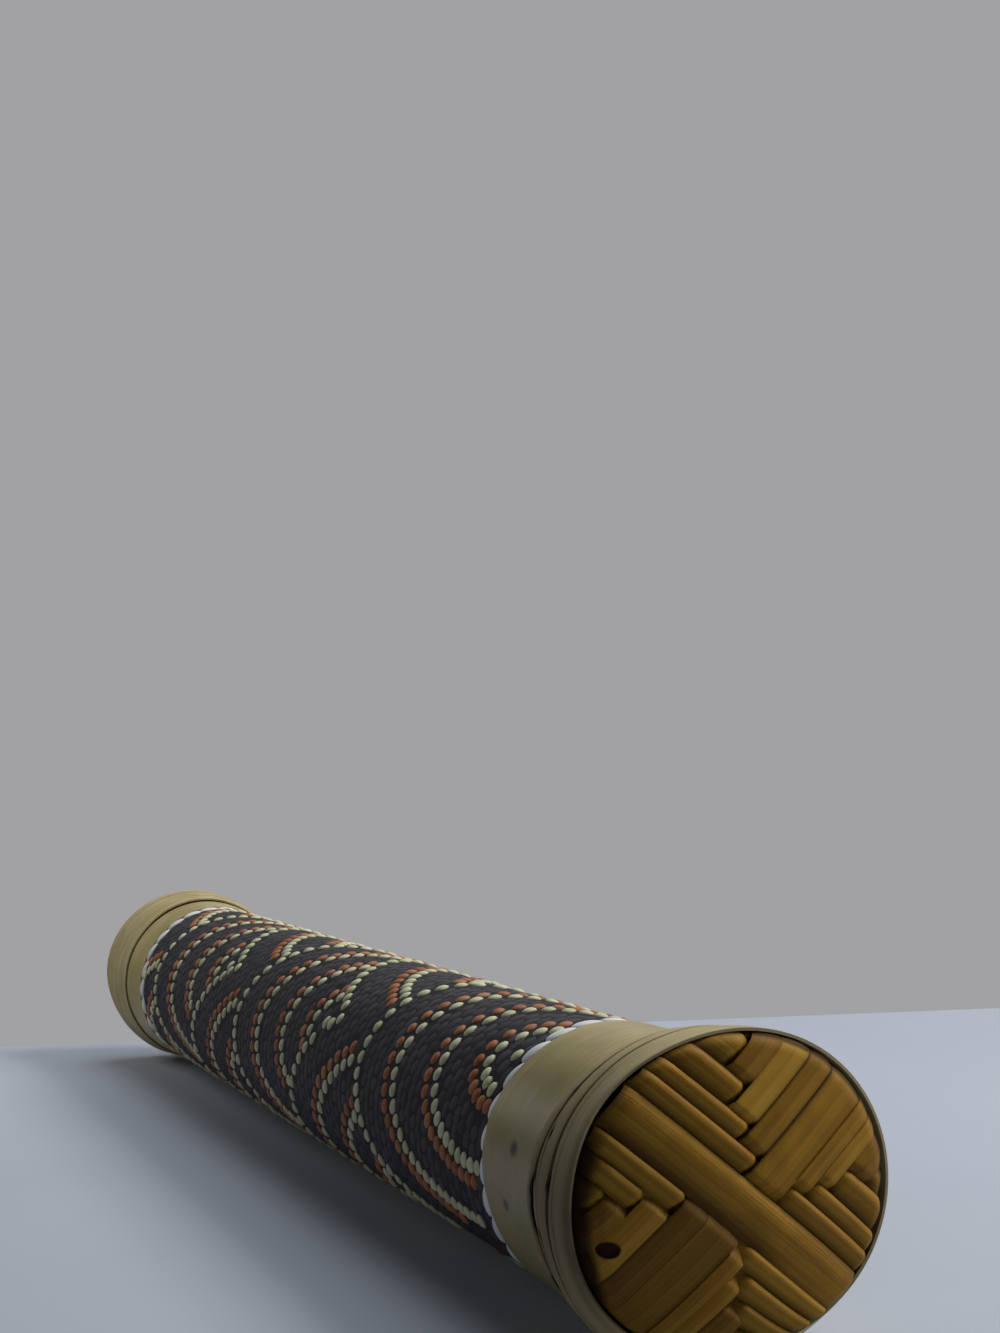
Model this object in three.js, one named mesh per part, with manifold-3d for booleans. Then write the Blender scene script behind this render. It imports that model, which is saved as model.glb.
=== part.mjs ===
// Rain stick lying on a table: a bamboo tube crossed by pegs and holding loose pebbles, dressed in a woven
// sleeve, and closed at both ends by plaited cane under a rim of wound cane.
// Millimetres, +Z up. The stick lies along X with its front end at +X, and the origin is on the table under
// the middle of the stick.
import * as THREE from "three";
import { mergeVertices } from "three/addons/utils/BufferGeometryUtils.js";
import Module from "manifold-3d";

// Overall length, and the gap that neighbouring pieces keep
const LENGTH = 400;
const CLEARANCE = 0.3;

// Bamboo tube and its end plugs
const TUBE_RADIUS = 26;
const TUBE_WALL = 4;
const PLUG_LENGTH = 24;

// Pegs through the whole tube, each turned on from the last, and pebbles that run in the lanes between them
const PEG_DIAMETER = 2.6;
const PEG_COUNT = 8;
const PEG_DIRECTIONS = 6;
const PEBBLE_DIAMETER = 5;
const PEBBLE_COUNT = 4;

// Woven sleeve over the middle of the tube, and the white stitches along its two edges
const SLEEVE_THICKNESS = 2.2;
const STITCH_WIDTH = 4;
const STITCH_HEIGHT = 2.7;
const STITCH_SCALLOP = 0.3;
const STITCHES_ROUND = 26;

// Cane splints of the plaited end, two layers deep where they cross, with a wide middle splint each way
const MIDDLE_SPLINT_WIDTH = 8;
const SPLINT_WIDTH = 5.4;
const SPLINT_THICKNESS = 1.5;
const SPLINT_EDGE = 0.4;
const SPLINT_SPACING = 0.9;

// Splint tails folded down over the tube: how thick they lie at the plait, under the end of the rim binding
// and under the far edge of the collar
const TAILS_AT_PLAIT = 4.2;
const TAILS_AT_RIM = 2.7;
const TAILS_AT_STITCHES = 0.8;

// Flat cane wound round the tails to make the rim: each turn lies square to the stick and crosses to the next
// within a few of its sides. It is worn flat where the stick lies on it.
const STRIP_WIDTH = 4.2;
const STRIP_THICKNESS = 1.5;
const STRIP_EDGE = 0.8;
const STRIP_GAP = 0.5;
const BINDING_TURNS = 5;
const CROSSING_SIDES = 5;
const BINDING_START = 0.7;
const RESTING_FLAT = 0.5;

// Smooth cane collars between the rims and the sleeve
const COLLAR_THICKNESS = 1.1;
const FRONT_COLLAR_LENGTH = 26;
const REAR_COLLAR_LENGTH = 16;

// Sides of round pieces, of thin pegs and of one turn of the binding, and points on one scallop
const ROUND_SIDES = 48;
const PEG_SIDES = 8;
const TURN_SIDES = 24;
const SCALLOP_POINTS = 4;

// Radii and depths that follow from the sizes above; a depth is measured inwards from an end of the stick
const boreRadius = TUBE_RADIUS - TUBE_WALL;
const dressRadius = TUBE_RADIUS + CLEARANCE;
const plaitRadius = dressRadius + TAILS_AT_PLAIT;
const plaitThickness = 2 * SPLINT_THICKNESS + CLEARANCE;
const tubeEndDepth = plaitThickness + CLEARANCE;
const stripPitch = STRIP_WIDTH + STRIP_GAP;
const rimDepth = BINDING_START + BINDING_TURNS * stripPitch - STRIP_GAP;
const collarDepth = rimDepth + CLEARANCE;
const runLength = LENGTH - 2 * (tubeEndDepth + PLUG_LENGTH);

const bamboo = new THREE.MeshStandardMaterial({ color: 0xb59a62, roughness: 0.7, metalness: 0 });
const plug = new THREE.MeshStandardMaterial({ color: 0x9c7a4a, roughness: 0.8, metalness: 0 });
const peg = new THREE.MeshStandardMaterial({ color: 0xc9ad74, roughness: 0.7, metalness: 0 });
const pebble = new THREE.MeshStandardMaterial({ color: 0x7d776d, roughness: 0.6, metalness: 0 });
const weave = new THREE.MeshStandardMaterial({ color: 0x2c2d33, roughness: 0.55, metalness: 0 });
const stitch = new THREE.MeshStandardMaterial({ color: 0xd5d8d6, roughness: 0.6, metalness: 0 });
const paleCane = new THREE.MeshStandardMaterial({ color: 0xb5a27c, roughness: 0.5, metalness: 0 });
const tailCane = new THREE.MeshStandardMaterial({ color: 0x9b8552, roughness: 0.7, metalness: 0 });
const goldenCane = new THREE.MeshStandardMaterial({ color: 0x9a7c34, roughness: 0.4, metalness: 0 });

const wasm = await Module();
wasm.setup();

// A closed geometry as a solid that can be cut
function solidOf(geometry) {
  const bare = geometry.clone();
  bare.deleteAttribute("normal");
  bare.deleteAttribute("uv");
  const merged = mergeVertices(bare);
  return new wasm.Manifold(
    new wasm.Mesh({
      numProp: 3,
      vertProperties: merged.attributes.position.array,
      triVerts: new Uint32Array(merged.index.array),
    }),
  );
}

// A cut solid as a geometry again
function geometryOf(solid) {
  const mesh = solid.getMesh();
  const geometry = new THREE.BufferGeometry();
  geometry.setAttribute("position", new THREE.BufferAttribute(mesh.vertProperties, 3));
  geometry.setIndex(new THREE.BufferAttribute(mesh.triVerts, 1));
  geometry.computeVertexNormals();
  return geometry;
}

function namedMesh(name, geometry, material) {
  const mesh = new THREE.Mesh(geometry, material);
  mesh.name = name;
  return mesh;
}

// A number with a leading nought, so that names sort in order
function numbered(name, index) {
  return `${name}_${String(index + 1).padStart(2, "0")}`;
}

// A ring about Y from its outer and inner profiles, each a list of [radius, y] from low y to high y
function ring(outer, inner) {
  const outline = [...outer, ...inner.toReversed(), outer[0]];
  const points = outline.map(([radius, y]) => new THREE.Vector2(radius, y));
  return new THREE.LatheGeometry(points, ROUND_SIDES);
}

// The same ring with its axis along the stick
function ringAlongStick(outerRadius, innerRadius, fromX, toX) {
  const outer = [[outerRadius, fromX], [outerRadius, toX]];
  const inner = [[innerRadius, fromX], [innerRadius, toX]];
  return ring(outer, inner).rotateZ(-Math.PI / 2);
}

// Where peg number index stands: its distance along the stick and its direction across it
function pegPlace(index) {
  const spacing = runLength / PEG_COUNT;
  return { x: (index + 0.5) * spacing - runLength / 2, angle: (index * Math.PI) / PEG_DIRECTIONS };
}

function pegCylinder(radius, length, { x, angle }) {
  const cylinder = new THREE.CylinderGeometry(radius, radius, length, PEG_SIDES);
  return cylinder.rotateX(angle).translate(x, 0, 0);
}

// Bamboo tube with a hole through both walls for each peg
function coreTube() {
  const end = LENGTH / 2 - tubeEndDepth;
  let tube = solidOf(ringAlongStick(TUBE_RADIUS, boreRadius, -end, end));
  for (let index = 0; index < PEG_COUNT; index += 1) {
    const hole = pegCylinder(PEG_DIAMETER / 2 + CLEARANCE, 3 * TUBE_RADIUS, pegPlace(index));
    tube = tube.subtract(solidOf(hole));
  }
  return namedMesh("core_tube", geometryOf(tube), bamboo);
}

function pegs() {
  const group = new THREE.Group();
  const length = 2 * (TUBE_RADIUS - CLEARANCE);
  for (let index = 0; index < PEG_COUNT; index += 1) {
    const place = pegPlace(index);
    const cylinder = new THREE.CylinderGeometry(PEG_DIAMETER / 2, PEG_DIAMETER / 2, length, PEG_SIDES);
    const mesh = namedMesh(numbered("peg", index), cylinder, peg);
    mesh.position.x = place.x;
    mesh.rotation.x = place.angle;
    group.add(mesh);
  }
  return group;
}

// Pebbles lie on the bottom of the bore, one in each of the lowest lanes between the pegs
function pebbles() {
  const group = new THREE.Group();
  const laneRadius = boreRadius - CLEARANCE - PEBBLE_DIAMETER / 2;
  const laneAngle = Math.PI / PEG_DIRECTIONS;
  for (let index = 0; index < PEBBLE_COUNT; index += 1) {
    const angle = -Math.PI / 2 + (index - (PEBBLE_COUNT - 1) / 2) * laneAngle;
    const ball = new THREE.IcosahedronGeometry(PEBBLE_DIAMETER / 2, 1);
    const mesh = namedMesh(numbered("pebble", index), ball, pebble);
    mesh.position.set(0, laneRadius * Math.cos(angle), laneRadius * Math.sin(angle));
    group.add(mesh);
  }
  return group;
}

// Depth of the collar's inner edge, where the white stitches begin, and of the sleeve's edge behind them
function stitchDepth(collarLength) {
  return collarDepth + collarLength + CLEARANCE;
}

function sleeveDepth(collarLength) {
  return stitchDepth(collarLength) + STITCH_WIDTH + CLEARANCE;
}

function wovenSleeve() {
  const fromX = sleeveDepth(REAR_COLLAR_LENGTH) - LENGTH / 2;
  const toX = LENGTH / 2 - sleeveDepth(FRONT_COLLAR_LENGTH);
  const tube = ringAlongStick(dressRadius + SLEEVE_THICKNESS, dressRadius, fromX, toX);
  return namedMesh("woven_sleeve", tube, weave);
}

// The pieces of one end are made about Y, with Y pointing out of the end and its outer plane at y = 0
function endPlug(end) {
  const radius = boreRadius - CLEARANCE;
  const cylinder = new THREE.CylinderGeometry(radius, radius, PLUG_LENGTH, ROUND_SIDES);
  const mesh = namedMesh(`${end}_plug`, cylinder, plug);
  mesh.position.y = -tubeEndDepth - PLUG_LENGTH / 2;
  return mesh;
}

// Outer radius of the folded tails under the rim binding
function rimSeat(depth) {
  const share = (depth - tubeEndDepth) / (rimDepth - tubeEndDepth);
  return dressRadius + THREE.MathUtils.lerp(TAILS_AT_PLAIT, TAILS_AT_RIM, share);
}

function tailBand(end, collarLength) {
  const endDepth = collarDepth + collarLength;
  const outer = [
    [dressRadius + TAILS_AT_STITCHES, -endDepth],
    [dressRadius + TAILS_AT_RIM, -rimDepth],
    [plaitRadius, -tubeEndDepth],
  ];
  const inner = [[dressRadius, -endDepth], [dressRadius, -tubeEndDepth]];
  return namedMesh(`${end}_tail_band`, ring(outer, inner), tailCane);
}

function collar(end, collarLength) {
  const seat = dressRadius + CLEARANCE;
  const inner = [
    [seat + TAILS_AT_STITCHES, -collarDepth - collarLength],
    [seat + TAILS_AT_RIM, -collarDepth],
  ];
  const outer = inner.map(([radius, y]) => [radius + COLLAR_THICKNESS, y]);
  return namedMesh(`${end}_collar`, ring(outer, inner), paleCane);
}

// White stitches as one ring with a scallop for each stitch
function edgeStitching(end, collarLength) {
  const count = STITCHES_ROUND * SCALLOP_POINTS;
  const outline = [];
  for (let index = 0; index < count; index += 1) {
    const angle = (index * 2 * Math.PI) / count;
    const radius = dressRadius + STITCH_HEIGHT + STITCH_SCALLOP * Math.cos(STITCHES_ROUND * angle);
    outline.push(new THREE.Vector2(radius * Math.cos(angle), radius * Math.sin(angle)));
  }
  const shape = new THREE.Shape(outline);
  shape.holes.push(new THREE.Path().absarc(0, 0, dressRadius, 0, 2 * Math.PI, true));
  const settings = { depth: STITCH_WIDTH, bevelEnabled: false, curveSegments: ROUND_SIDES / 2 };
  const band = new THREE.ExtrudeGeometry(shape, settings).rotateX(-Math.PI / 2);
  const mesh = namedMesh(`${end}_edge_stitching`, band, stitch);
  mesh.position.y = -stitchDepth(collarLength) - STITCH_WIDTH;
  return mesh;
}

// How far along the stick the middle of the strip lies after a number of steps of the winding
function stripDepth(step) {
  const turn = Math.floor(step / TURN_SIDES);
  const firstCrossing = TURN_SIDES - CROSSING_SIDES;
  const crossed = Math.max(0, (step % TURN_SIDES) - firstCrossing) / CROSSING_SIDES;
  return BINDING_START + STRIP_WIDTH / 2 + (turn + crossed) * stripPitch;
}

// Rings of points along the binding, one ring for each step of the winding
function bindingRings() {
  const section = [
    [-STRIP_WIDTH / 2, 0],
    [-STRIP_WIDTH / 2, STRIP_EDGE],
    [-STRIP_WIDTH / 4, STRIP_THICKNESS],
    [STRIP_WIDTH / 4, STRIP_THICKNESS],
    [STRIP_WIDTH / 2, STRIP_EDGE],
    [STRIP_WIDTH / 2, 0],
  ];
  const halfStep = Math.PI / TURN_SIDES;
  const lastStep = BINDING_TURNS * TURN_SIDES - CROSSING_SIDES;
  const rings = [];
  for (let step = 0; step <= lastStep; step += 1) {
    const angle = Math.PI + (2 * step + 1) * halfStep;
    const points = section.map(([across, height]) => {
      const depth = stripDepth(step) + across;
      const radius = (rimSeat(depth) + CLEARANCE) / Math.cos(halfStep) + height;
      return new THREE.Vector3(radius * Math.cos(angle), -depth, radius * Math.sin(angle));
    });
    rings.push(points);
  }
  return rings;
}

// Least distance between points that lie half a turn or more apart along the winding
function leastGap(rings) {
  let least = Infinity;
  for (let first = 0; first < rings.length; first += 1) {
    for (let second = first + TURN_SIDES / 2; second < rings.length; second += 1) {
      for (const point of rings[first]) {
        for (const other of rings[second]) {
          least = Math.min(least, point.distanceTo(other));
        }
      }
    }
  }
  return least;
}

// A closed tube through rings of points, with a flat cap on each end
function tubeThrough(rings) {
  const sides = rings[0].length;
  const positions = rings.flat().flatMap((point) => point.toArray());
  const faces = [];
  for (let step = 0; step + 1 < rings.length; step += 1) {
    for (let side = 0; side < sides; side += 1) {
      const near = step * sides + side;
      const nearNext = step * sides + ((side + 1) % sides);
      faces.push(near, near + sides, nearNext + sides, near, nearNext + sides, nearNext);
    }
  }
  const last = (rings.length - 1) * sides;
  for (let side = 1; side + 1 < sides; side += 1) {
    faces.push(0, side, side + 1, last, last + side + 1, last + side);
  }
  const geometry = new THREE.BufferGeometry();
  geometry.setAttribute("position", new THREE.Float32BufferAttribute(positions, 3));
  geometry.setIndex(faces);
  return geometry;
}

const windingRings = bindingRings();
const winding = tubeThrough(windingRings);
winding.computeBoundingBox();
const axisHeight = -winding.boundingBox.min.z - RESTING_FLAT;
console.log(`rim binding, least gap to itself: ${leastGap(windingRings).toFixed(2)} mm`);

// The wound strip with its start turned to the stick's right side, and cut flat where the stick lies on it
function rimBinding(end, startAngle) {
  const reach = 4 * plaitRadius;
  const table = new THREE.BoxGeometry(reach, reach, reach).translate(0, 0, -axisHeight - reach / 2);
  const strip = solidOf(winding.clone().rotateY(startAngle)).subtract(solidOf(table));
  return namedMesh(`${end}_binding`, geometryOf(strip), paleCane);
}

// Places across a set of splints are counted from its wide middle splint, which is place 0
function splintWidth(place) {
  return place === 0 ? MIDDLE_SPLINT_WIDTH : SPLINT_WIDTH;
}

function splintCentre(place) {
  const first = (MIDDLE_SPLINT_WIDTH + SPLINT_WIDTH) / 2 + SPLINT_SPACING;
  const beyond = (Math.abs(place) - 1) * (SPLINT_WIDTH + SPLINT_SPACING);
  return place === 0 ? 0 : Math.sign(place) * (first + beyond);
}

// Side outline of a splint that passes under the crossing splints up to place under on both sides of their
// middle one, and over those further out. Where under is negative it lies over them all.
function splintOutline(under) {
  const reach = plaitRadius + MIDDLE_SPLINT_WIDTH;
  const drop = SPLINT_THICKNESS + CLEARANCE;
  const top = [[-reach, 0], [reach, 0]];
  if (under >= 0) {
    const low = splintCentre(under) + splintWidth(under) / 4;
    const high = splintCentre(under + 1) - splintWidth(under + 1) / 4;
    top.splice(1, 0, [-high, 0], [-low, -drop], [low, -drop], [high, 0]);
  }
  const bottom = top.map(([along, y]) => [along, y - SPLINT_THICKNESS]);
  const outline = [...bottom, ...top.toReversed()];
  return new THREE.Shape(outline.map(([along, y]) => new THREE.Vector2(along, y)));
}

// One splint along X, its edges thinned, at its place across the plait and cut to the round end
function splint(outline, width, centre) {
  const thinning = (SPLINT_THICKNESS - SPLINT_EDGE) / 2;
  const strip = new THREE.ExtrudeGeometry(outline, {
    depth: width / 2,
    bevelThickness: width / 4,
    bevelSize: thinning,
    bevelOffset: -thinning,
    bevelSegments: 1,
  });
  strip.translate(0, 0, centre - width / 4);
  const round = new THREE.CylinderGeometry(plaitRadius, plaitRadius, 3 * plaitThickness, ROUND_SIDES);
  return geometryOf(solidOf(strip).intersect(solidOf(round)));
}

// One set of splints side by side; under gives the last crossing splint that each one passes under
function splintSet(name, under) {
  const group = new THREE.Group();
  let reach = 0;
  while (splintCentre(reach + 1) + SPLINT_WIDTH / 2 < plaitRadius) {
    reach += 1;
  }
  for (let place = -reach; place <= reach; place += 1) {
    const strip = splint(splintOutline(under(place)), splintWidth(place), splintCentre(place));
    group.add(namedMesh(`${name}${place + reach + 1}`, strip, goldenCane));
  }
  return group;
}

// Quartered plait: set a runs from upper left to lower right and lies on top in the upper left and lower
// right quarters, set b runs the other way and lies on top in the other two
function plait(end) {
  const setA = splintSet(`${end}_splint_a`, (place) => Math.abs(place) - 1);
  const setB = splintSet(`${end}_splint_b`, (place) => Math.abs(place));
  setA.rotation.y = -Math.PI / 4;
  setB.rotation.y = Math.PI / 4;
  return [setA, setB];
}

function stickEnd(end, collarLength, startAngle) {
  const group = new THREE.Group();
  group.add(endPlug(end), tailBand(end, collarLength), collar(end, collarLength));
  group.add(edgeStitching(end, collarLength), rimBinding(end, startAngle), ...plait(end));
  return group;
}

const front = stickEnd("front", FRONT_COLLAR_LENGTH, 0);
front.position.x = LENGTH / 2;
front.rotation.z = -Math.PI / 2;

const rear = stickEnd("rear", REAR_COLLAR_LENGTH, Math.PI);
rear.position.x = -LENGTH / 2;
rear.rotation.z = Math.PI / 2;

const stick = new THREE.Group();
stick.position.z = axisHeight;
stick.add(coreTube(), pegs(), pebbles(), wovenSleeve(), front, rear);

const rainStick = new THREE.Group();
rainStick.add(stick);

export default rainStick;
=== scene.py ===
import math
import bpy
import numpy as np
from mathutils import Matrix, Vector


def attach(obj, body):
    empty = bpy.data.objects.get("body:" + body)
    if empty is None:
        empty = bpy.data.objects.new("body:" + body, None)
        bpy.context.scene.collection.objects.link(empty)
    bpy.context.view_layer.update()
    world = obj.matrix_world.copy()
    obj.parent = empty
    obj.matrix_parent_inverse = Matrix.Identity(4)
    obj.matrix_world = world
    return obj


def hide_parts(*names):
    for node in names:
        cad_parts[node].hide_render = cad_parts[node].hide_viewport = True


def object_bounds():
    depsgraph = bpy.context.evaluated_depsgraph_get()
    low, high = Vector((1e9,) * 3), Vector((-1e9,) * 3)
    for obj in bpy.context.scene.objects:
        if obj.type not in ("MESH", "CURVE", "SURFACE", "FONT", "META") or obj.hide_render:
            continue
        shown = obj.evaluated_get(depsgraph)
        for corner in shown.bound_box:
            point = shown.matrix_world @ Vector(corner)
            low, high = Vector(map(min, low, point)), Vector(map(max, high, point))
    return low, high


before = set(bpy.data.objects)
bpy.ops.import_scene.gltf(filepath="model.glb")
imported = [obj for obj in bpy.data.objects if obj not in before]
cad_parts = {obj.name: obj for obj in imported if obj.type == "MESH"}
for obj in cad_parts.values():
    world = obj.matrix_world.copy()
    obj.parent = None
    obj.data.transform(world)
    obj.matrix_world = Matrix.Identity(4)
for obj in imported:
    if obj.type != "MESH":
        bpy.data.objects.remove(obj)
cad_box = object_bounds()
bpy.ops.object.select_all(action="DESELECT")

# Length of the stick and height of its axis, in metres, from the frame
MM = 0.001
HALF_LENGTH = cad_box[1][0]
tube_heights = [corner[2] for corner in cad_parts["core_tube"].bound_box]
AXIS_HEIGHT = (min(tube_heights) + max(tube_heights)) / 2.0

# Places along the stick: the sleeve from the front end, each collar from its own end
SLEEVE_FROM = 54.6 * MM
SLEEVE_TO = 357.4 * MM
COLLAR_FROM = 24.0 * MM
COLLAR_LENGTH = {"front": 26.0 * MM, "rear": 14.5 * MM}
ENDS = ("front", "rear")
FACING = {"front": 1.0, "rear": -1.0}
FULL_TURN = 2.0 * math.pi


# A shader socket that can stand in sums
class Shade:
    def __init__(self, tree, socket=None):
        self.tree = tree
        self.socket = socket

    def node(self, kind, settings=None, inputs=None, output=0):
        made = self.tree.nodes.new(kind)
        for name, value in (settings or {}).items():
            if name == "stops":
                ramp = made.color_ramp.elements
                while len(ramp) < len(value):
                    ramp.new(0.5)
                for stop, (position, colour) in zip(ramp, value):
                    stop.position = position
                    stop.color = (*colour, 1.0)
            else:
                setattr(made, name, value)
        for name, value in (inputs or {}).items():
            if isinstance(value, Shade):
                self.tree.links.new(value.socket, made.inputs[name])
            else:
                made.inputs[name].default_value = value
        return Shade(self.tree, made.outputs[output])

    def maths(self, operation, first, second):
        return self.node("ShaderNodeMath", {"operation": operation}, {0: first, 1: second})

    def __add__(self, other):
        return self.maths("ADD", self, other)

    def __radd__(self, other):
        return self.maths("ADD", other, self)

    def __sub__(self, other):
        return self.maths("SUBTRACT", self, other)

    def __rsub__(self, other):
        return self.maths("SUBTRACT", other, self)

    def __mul__(self, other):
        return self.maths("MULTIPLY", self, other)

    def __rmul__(self, other):
        return self.maths("MULTIPLY", other, self)

    def clamp(self):
        return self.node("ShaderNodeClamp", None, {"Value": self})

    def ramp(self, stops):
        return self.node("ShaderNodeValToRGB", {"stops": stops}, {"Fac": self})

    def over(self, start, end):
        return self.node("ShaderNodeMapRange", None, {"Value": self, "From Min": start, "From Max": end})


# Start of a material: its tree and its shader
def new_finish(name):
    material = bpy.data.materials.new(name)
    material.use_nodes = True
    tree = material.node_tree
    shader = tree.nodes["Principled BSDF"]
    return material, Shade(tree), shader


# Place on the object, place on the strip that a piece is made of, and a number set on the piece's points
def place_on_object(shade):
    return shade.node("ShaderNodeTexCoord", None, None, "Object")


def place_on_strip(shade):
    return shade.node("ShaderNodeUVMap", {"uv_map": "strip"})


def number_on_piece(shade, name):
    return shade.node("ShaderNodeAttribute", {"attribute_name": name}, None, "Fac")


# A pattern point stretched by a different amount along each axis
def stretched(source, amounts):
    settings = {"operation": "MULTIPLY"}
    return source.node("ShaderNodeVectorMath", settings, {0: source, 1: amounts})


def noise(point, scale=1.0, detail=3.0, rough=0.5, twist=0.0):
    inputs = {"Vector": point, "Scale": scale, "Detail": detail, "Roughness": rough, "Distortion": twist}
    return point.node("ShaderNodeTexNoise", None, inputs)


# Fibres of a strip, so many to a metre along it and across it
def fibres(strip, along, across, detail, rough=0.5):
    return noise(stretched(strip, (along, across, 0.0)), 1.0, detail, rough)


def blended(share, first, second):
    settings = {"data_type": "RGBA"}
    return share.node("ShaderNodeMix", settings, {"Factor": share, 6: first, 7: second}, 2)


# Joins colour, roughness and relief to the shader of a material
def join_finish(shade, shader, colour, roughness, relief, depth):
    tree = shade.tree
    tree.links.new(colour.socket, shader.inputs["Base Color"])
    tree.links.new(roughness.socket, shader.inputs["Roughness"])
    bump = shade.node("ShaderNodeBump", None, {"Height": relief, "Strength": 1.0, "Distance": depth})
    tree.links.new(bump.socket, shader.inputs["Normal"])


# Split cane with fibres along each strip, painted shade in its seams, dips and edges, and a tone of its own
def cane_finish(name, dark, middle, light, deepest_shade, shine):
    material, shade, shader = new_finish(name)
    strip = place_on_strip(shade)
    tone = number_on_piece(shade, "tone")
    hollow = number_on_piece(shade, "hollow")
    fibre = fibres(strip, along=26.0, across=1500.0, detail=4.0, rough=0.6)
    hair = fibres(strip, along=120.0, across=5200.0, detail=2.0)
    streak = fibres(strip, along=9.0, across=420.0, detail=2.0)
    patch = noise(place_on_object(shade), scale=95.0, detail=3.0, rough=0.55, twist=0.4)
    mixed = fibre * 0.34 + streak * 0.26 + patch * 0.3 + (tone - 0.5) * 0.46 + 0.05
    colour = mixed.ramp([(0.3, dark), (0.5, middle), (0.72, light)])
    # Painted shade: the colour goes towards the deepest shade colour as the piece's painted shade number
    # rises
    shade_mix = (hollow * 0.85 + (patch - 0.5) * 0.5 * hollow).clamp()
    colour = blended(shade_mix, colour, (*deepest_shade, 1.0))
    roughness = (hair * 0.22 + patch * 0.16 + hollow * 0.2 + shine).clamp()
    shader.inputs["Specular IOR Level"].default_value = 0.17
    join_finish(shade, shader, colour, roughness, fibre * 0.7 + hair * 0.3, 0.22 * MM)
    return material


# Dyed flat strips of the woven sleeve, a little different from stitch to stitch
def stitch_finish(name, dark, light, rubbed, shine):
    material, shade, shader = new_finish(name)
    tone = number_on_piece(shade, "tone")
    hollow = number_on_piece(shade, "hollow")
    fibre = fibres(place_on_strip(shade), along=260.0, across=2600.0, detail=3.0, rough=0.6)
    patch = noise(place_on_object(shade), scale=60.0, detail=3.0)
    colour = (fibre * 0.4 + tone * 0.6).ramp([(0.2, dark), (0.8, light)])
    rub = ((1.0 - hollow) * (patch - 0.42) * 2.4 * fibre).clamp()
    colour = blended(rub, colour, (*rubbed, 1.0))
    # Painted shade round the bases of the stitches, going towards near black
    shade_mix = (hollow * 0.75).clamp()
    colour = blended(shade_mix, colour, (0.012, 0.010, 0.011, 1.0))
    roughness = (fibre * 0.25 + hollow * 0.2 + shine).clamp()
    shader.inputs["Specular IOR Level"].default_value = 0.32
    join_finish(shade, shader, colour, roughness, fibre, 0.12 * MM)
    return material


# Bare wood of the pieces inside, with so much grain to a metre along each axis
def wood_finish(name, dark, light, grain):
    material, shade, shader = new_finish(name)
    spot = place_on_object(shade)
    finer = tuple(4.0 * part for part in grain)
    rings = noise(stretched(spot, grain), detail=4.0, rough=0.6, twist=0.5)
    pores = noise(stretched(spot, finer), detail=2.0)
    patch = noise(spot, scale=40.0, detail=2.0)
    colour = (rings * 0.6 + patch * 0.4).ramp([(0.3, dark), (0.7, light)])
    roughness = (pores * 0.3 + 0.5).clamp()
    join_finish(shade, shader, colour, roughness, rings * 0.6 + pores * 0.4, 0.2 * MM)
    return material


# Speckled stone of the pebbles
def stone_finish(name):
    material, shade, shader = new_finish(name)
    spot = place_on_object(shade)
    patch = noise(spot, scale=420.0, detail=4.0, rough=0.6)
    speck = noise(spot, scale=2400.0, detail=2.0)
    stops = [(0.3, (0.11, 0.10, 0.09)), (0.55, (0.24, 0.21, 0.18)), (0.75, (0.38, 0.35, 0.31))]
    colour = (patch * 0.7 + speck * 0.3).ramp(stops)
    join_finish(shade, shader, colour, speck * 0.3 + 0.4, patch, 0.2 * MM)
    return material


# Smooth skin of the collars: faint fibres round the stick, brown and olive patches, and a few dark spots
def collar_finish(name, spots):
    material, shade, shader = new_finish(name)
    strip = place_on_strip(shade)
    spot = place_on_object(shade)
    hollow = number_on_piece(shade, "hollow")
    fibre = fibres(strip, along=14.0, across=900.0, detail=4.0, rough=0.55)
    hair = fibres(strip, along=60.0, across=4200.0, detail=2.0)
    patch = noise(spot, scale=46.0, detail=4.0, rough=0.6, twist=0.6)
    stops = [(0.3, (0.285, 0.212, 0.075)), (0.5, (0.412, 0.332, 0.133)), (0.7, (0.525, 0.445, 0.208))]
    colour = (fibre * 0.4 + patch * 0.6).ramp(stops)
    brown = noise(spot, scale=30.0, detail=3.0, twist=0.8).over(0.42, 0.68)
    colour = blended(brown * 0.6, colour, (0.37, 0.290, 0.172, 1.0))
    olive = noise(spot, scale=58.0, detail=2.0, twist=0.6).over(0.5, 0.68)
    colour = blended(olive * 0.55, colour, (0.27, 0.252, 0.078, 1.0))
    for place, size in spots:
        gap = spot.node("ShaderNodeVectorMath", {"operation": "DISTANCE"}, {0: spot, 1: place}, 1)
        ragged = gap + (hair - 0.5) * (1.2 * MM)
        mark = (1.0 - ragged.over(size * 0.4, size)) * 0.95
        colour = blended(mark, colour, (0.045, 0.032, 0.012, 1.0))
    # Painted shade under the rim's back edge, in its slits, over the left and at the collar's back edge, from
    # the pieces' painted shade number
    colour = blended((hollow * 0.8).clamp(), colour, (0.07, 0.045, 0.02, 1.0))
    roughness = (hair * 0.2 + patch * 0.2 + 0.22).clamp()
    join_finish(shade, shader, colour, roughness, fibre * 0.5 + hair * 0.2 + patch * 0.3, 0.18 * MM)
    return material


# Dull pale paint of the table
def table_finish(name):
    material, shade, shader = new_finish(name)
    patch = noise(place_on_object(shade), scale=6.0, detail=3.0)
    colour = patch.ramp([(0.3, (0.404, 0.432, 0.494)), (0.7, (0.434, 0.462, 0.524))])
    shader.inputs["Specular IOR Level"].default_value = 0.03
    join_finish(shade, shader, colour, patch * 0.1 + 0.75, patch, 0.05 * MM)
    return material


# The fourth colour given for each cane is that of its deepest painted shade
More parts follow.
